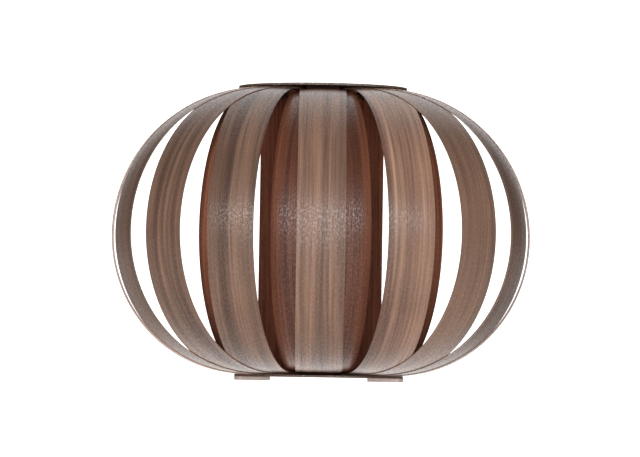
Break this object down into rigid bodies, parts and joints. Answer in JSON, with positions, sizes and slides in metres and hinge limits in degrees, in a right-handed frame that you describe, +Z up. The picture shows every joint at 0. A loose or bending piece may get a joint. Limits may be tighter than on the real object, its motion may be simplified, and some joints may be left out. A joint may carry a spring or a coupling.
{
  "type": "wall light",
  "caption": "Half-globe wall light of bent walnut strips fanned between two end plates, with a screened lampholder and a hook-on wall plate.",
  "frame": {"origin": "middle of the wall plate's back face, on the wall, at the middle of the shade's height", "axes": "+X to the right seen from the front, +Z up, -Y straight out from the wall"},
  "size_m": [0.3956, 0.192, 0.2785],
  "materials": {
    "walnut_strip": "satin oiled veneer",
    "walnut_screen": "satin oiled veneer",
    "walnut_plate": "satin oiled plywood",
    "walnut_board": "satin oiled plywood",
    "pad_wood": "matt beech pad",
    "plated_steel": "zinc plated",
    "black_plastic": "fine matt",
    "white_ceramic": "unglazed",
    "brass": "satin",
    "bulb_metal": "satin",
    "bulb_insulator": "gloss",
    "opal_glass": "opal white",
    "white_plastic": "smooth",
    "grey_rubber": "matt"
  },
  "bodies": {
    "wall_plate": {"wall_plate": "plated_steel"},
    "bulb": {"bulb_cap": "bulb_metal", "bulb_tip": "bulb_insulator", "bulb_glass": "opal_glass"},
    "shade": {"strip_front": "walnut_strip", "strip_left_1": "walnut_strip", "strip_left_2": "walnut_strip", "strip_left_3": "walnut_strip", "strip_left_4": "walnut_strip", "strip_right_1": "walnut_strip", "strip_right_2": "walnut_strip", "strip_right_3": "walnut_strip", "strip_right_4": "walnut_strip", "screen_front_right": "walnut_screen", "screen_front_left": "walnut_screen", "screen_side_right": "walnut_screen", "screen_side_left": "walnut_screen", "top_plate": "walnut_plate", "bottom_plate": "walnut_plate", "front_spacers": "walnut_plate", "back_board": "walnut_board", "pad_right": "pad_wood", "pad_left": "pad_wood", "strip_bolts": "plated_steel", "strip_washers": "plated_steel", "strip_nuts": "plated_steel", "plate_screws": "plated_steel", "holder_angle": "plated_steel", "angle_screws": "plated_steel", "nipple_nut": "plated_steel", "block_screw": "plated_steel", "holder_cap": "black_plastic", "holder_shell": "black_plastic", "holder_insert": "white_ceramic", "holder_nipple": "brass", "thread_sleeve": "brass", "centre_contact": "brass", "terminal_screws": "brass", "terminal_block": "white_plastic", "cable_grommet": "grey_rubber"}
  },
  "joints": [
    {"name": "shade_lift", "type": "slide", "parent": "wall_plate", "child": "shade", "axis": [0, 0, 1], "range_m": [0, 0.0084]},
    {"name": "bulb_draw", "type": "slide", "parent": "shade", "child": "bulb", "axis": [0, 0, 1], "range_m": [0, 0.03]}
  ]
}
